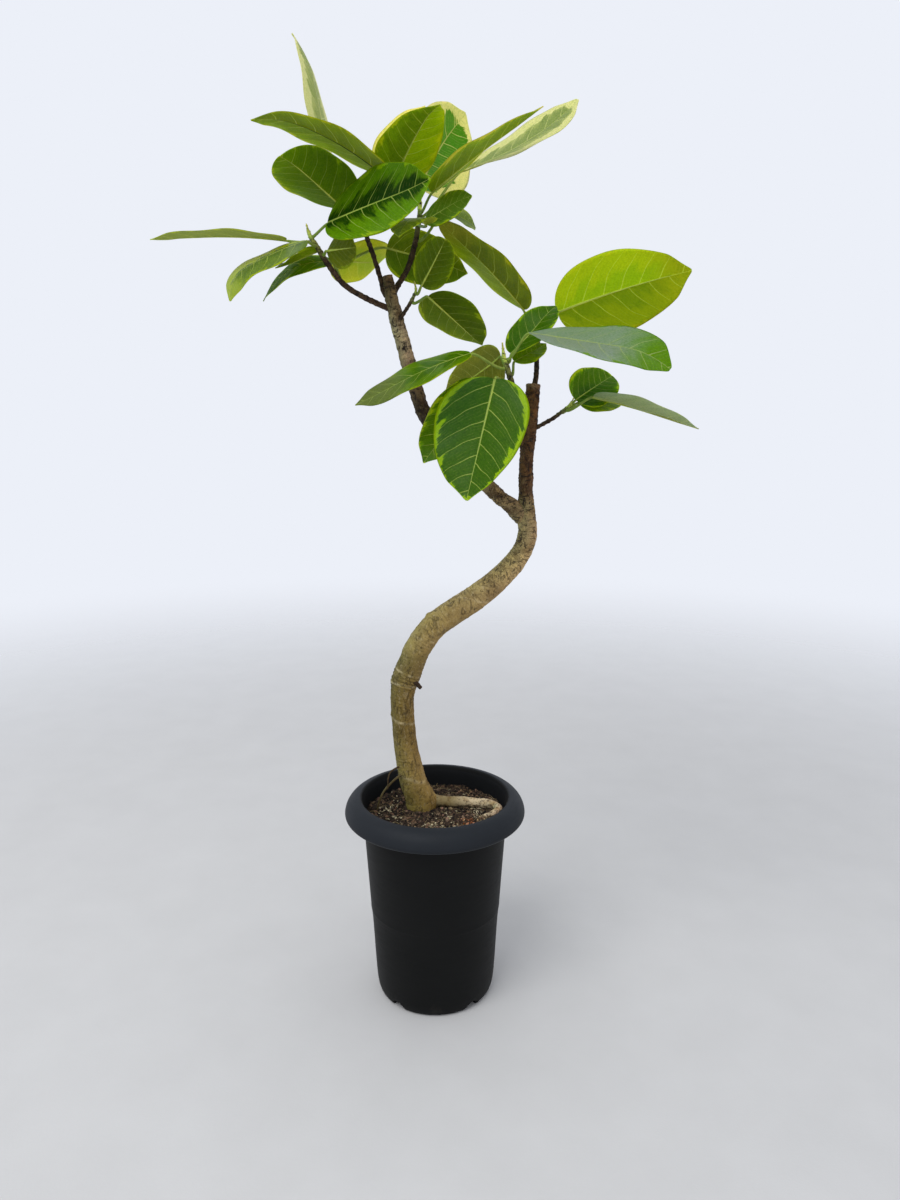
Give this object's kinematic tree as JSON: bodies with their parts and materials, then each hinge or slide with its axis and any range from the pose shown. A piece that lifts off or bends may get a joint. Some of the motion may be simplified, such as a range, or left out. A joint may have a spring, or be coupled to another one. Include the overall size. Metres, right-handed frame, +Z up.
{
  "type": "potted council tree",
  "caption": "Variegated council tree (Ficus altissima) with an S-bent trunk, cut leaders and large patterned leaves, in a round black nursery pot.",
  "frame": {"origin": "centre of the pot's foot, on the surface it stands on, which is the base mount", "axes": "+Z up along the pot's axis, -Y towards the camera side of the picture, +X to the picture's right"},
  "size_m": [0.6669, 0.2978, 1.3081],
  "materials": {
    "pot_plastic": "black moulded plastic with a soft sheen",
    "potting_mix": "loose bark and peat with perlite",
    "bark": "living bark, tan grey to dark brown",
    "leaf_deep": "waxy leaf, dark green with lime streaks",
    "leaf_fresh": "leaf underside, mid green, light comes through",
    "leaf_lime": "waxy leaf, lime and yellow margins",
    "leaf_pale": "waxy leaf, cream and pale green",
    "leaf_grey": "waxy leaf, grey green gloss"
  },
  "bodies": {
    "root": {"pot": "pot_plastic", "soil": "potting_mix", "trunk": "bark", "leaf_top_1": "leaf_lime", "leaf_top_2": "leaf_fresh", "leaf_top_3": "leaf_pale", "leaf_top_4": "leaf_deep", "leaf_top_5": "leaf_deep", "leaf_top_6": "leaf_grey", "leaf_upper_1": "leaf_lime", "leaf_upper_2": "leaf_fresh", "leaf_upper_3": "leaf_fresh", "leaf_upper_4": "leaf_deep", "leaf_upper_5": "leaf_pale", "leaf_centre_1": "leaf_fresh", "leaf_centre_2": "leaf_fresh", "leaf_left_1": "leaf_deep", "leaf_left_2": "leaf_deep", "leaf_left_3": "leaf_lime", "leaf_left_4": "leaf_deep", "leaf_left_5": "leaf_deep", "leaf_left_6": "leaf_grey", "leaf_left_7": "leaf_lime", "leaf_left_8": "leaf_fresh", "leaf_front_1": "leaf_deep", "leaf_front_2": "leaf_deep", "leaf_front_3": "leaf_grey", "leaf_front_4": "leaf_lime", "leaf_front_5": "leaf_deep", "leaf_front_6": "leaf_deep", "leaf_front_7": "leaf_grey", "leaf_right_1": "leaf_fresh", "leaf_right_2": "leaf_lime", "leaf_side_1": "leaf_deep", "leaf_side_2": "leaf_grey", "leaf_side_3": "leaf_deep"}
  },
  "joints": []
}
